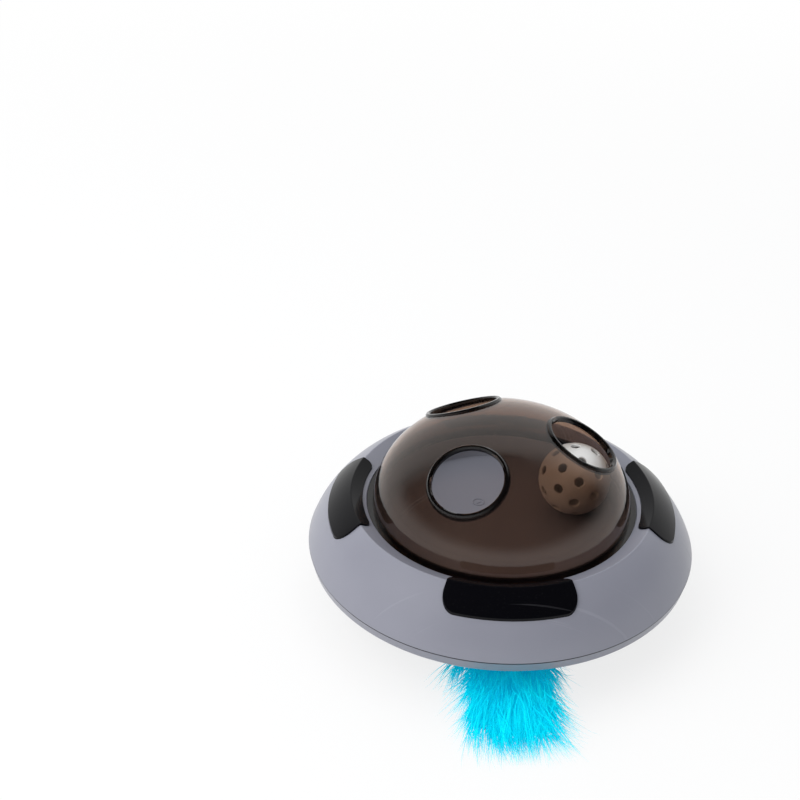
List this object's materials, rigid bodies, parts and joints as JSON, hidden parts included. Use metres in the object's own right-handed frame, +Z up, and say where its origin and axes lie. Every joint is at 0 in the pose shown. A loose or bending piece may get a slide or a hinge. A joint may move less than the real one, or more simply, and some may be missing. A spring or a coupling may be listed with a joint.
{
  "type": "electric cat turntable toy",
  "caption": "Saucer-shaped cat toy: a smoked dome with paw holes over a ball tray, on a battery base whose geared ring sweeps a feather round below.",
  "frame": {"origin": "in the plane of the rubber feet, under the middle of the whole toy with its feather; the saucer's axis stands 22.25 mm behind it", "axes": "+Z up along the saucer's axis, -Y towards the front, where the feather lies at rest"},
  "size_m": [0.25, 0.2944, 0.1263],
  "materials": {
    "shell_plastic": "satin-gloss moulded plastic, lavender grey",
    "black_gloss": "polished black plastic",
    "base_plastic": "fine-textured moulded plastic, lavender grey",
    "foot_rubber": "soft matt rubber",
    "cell_wrap": "printed film wrap over a steel can, left bare",
    "contact_metal": "nickel-plated strip",
    "board_resin": "green solder mask",
    "steel": "zinc-plated steel",
    "gear_nylon": "natural nylon",
    "brass": "turned brass",
    "smoked_clear": "clear plastic tinted smoky brown, polished",
    "ball_plastic": "thin white blow-moulded plastic",
    "quill": "natural feather quill, dyed",
    "down": "dyed marabou down"
  },
  "bodies": {
    "housing": {"upper_shell": "shell_plastic", "play_tray": "shell_plastic", "lower_shell": "shell_plastic", "trim_pad_right": "black_gloss", "trim_pad_back": "black_gloss", "trim_pad_left": "black_gloss", "trim_pad_front": "black_gloss", "base_tub": "base_plastic", "base_deck": "base_plastic", "rubber_feet": "foot_rubber", "battery_cell_1": "cell_wrap", "battery_cell_2": "cell_wrap", "battery_cell_3": "cell_wrap", "battery_contacts_left": "contact_metal", "battery_contacts_right": "contact_metal", "switch_case": "contact_metal", "circuit_board": "board_resin", "gear_plate": "steel", "gear_cover": "gear_nylon", "gear_pin": "steel", "motor_can": "steel", "shell_screws": "steel", "tray_screws": "steel", "column_screws": "steel", "base_screws": "steel", "motor_screws": "steel"},
    "dome": {"dome": "smoked_clear"},
    "ball": {"play_ball": "ball_plastic"},
    "battery_door": {"battery_door": "base_plastic"},
    "switch": {"switch_knob": "black_gloss"},
    "feather_rotor": {"feather_ring": "base_plastic", "feather_plug": "black_gloss", "feather_quill": "quill", "feather_plume": "down"},
    "double_gear": {"reduction_gear": "gear_nylon"},
    "motor_rotor": {"motor_shaft": "steel", "motor_pinion": "brass"}
  },
  "joints": [
    {"name": "dome_lift", "type": "slide", "parent": "housing", "child": "dome", "axis": [0, 0, 1], "range_m": [0, 0.08]},
    {"name": "ball_run", "type": "hinge", "parent": "housing", "child": "ball", "pos_m": [0, 0.02225, 0], "axis": [0, 0, 1], "continuous": true},
    {"name": "battery_door_slide", "type": "slide", "parent": "housing", "child": "battery_door", "axis": [0, 1, 0], "range_m": [0, 0.02]},
    {"name": "switch_slide", "type": "slide", "parent": "housing", "child": "switch", "axis": [1, 0, 0], "range_m": [0, 0.004]},
    {"name": "feather_spin", "type": "hinge", "parent": "housing", "child": "feather_rotor", "pos_m": [0, 0.02225, 0], "axis": [0, 0, 1], "continuous": true},
    {"name": "double_gear_spin", "type": "hinge", "parent": "housing", "child": "double_gear", "pos_m": [0, -0.00895, 0.03], "axis": [0, 0, 1], "continuous": true},
    {"name": "motor_spin", "type": "hinge", "parent": "housing", "child": "motor_rotor", "pos_m": [0, 0.00965, 0.035], "axis": [0, 0, 1], "continuous": true}
  ],
  "couplings": [
    {"joint": "double_gear_spin", "follows": "feather_spin", "ratio": 7.5},
    {"joint": "motor_spin", "follows": "feather_spin", "ratio": -31.25}
  ]
}
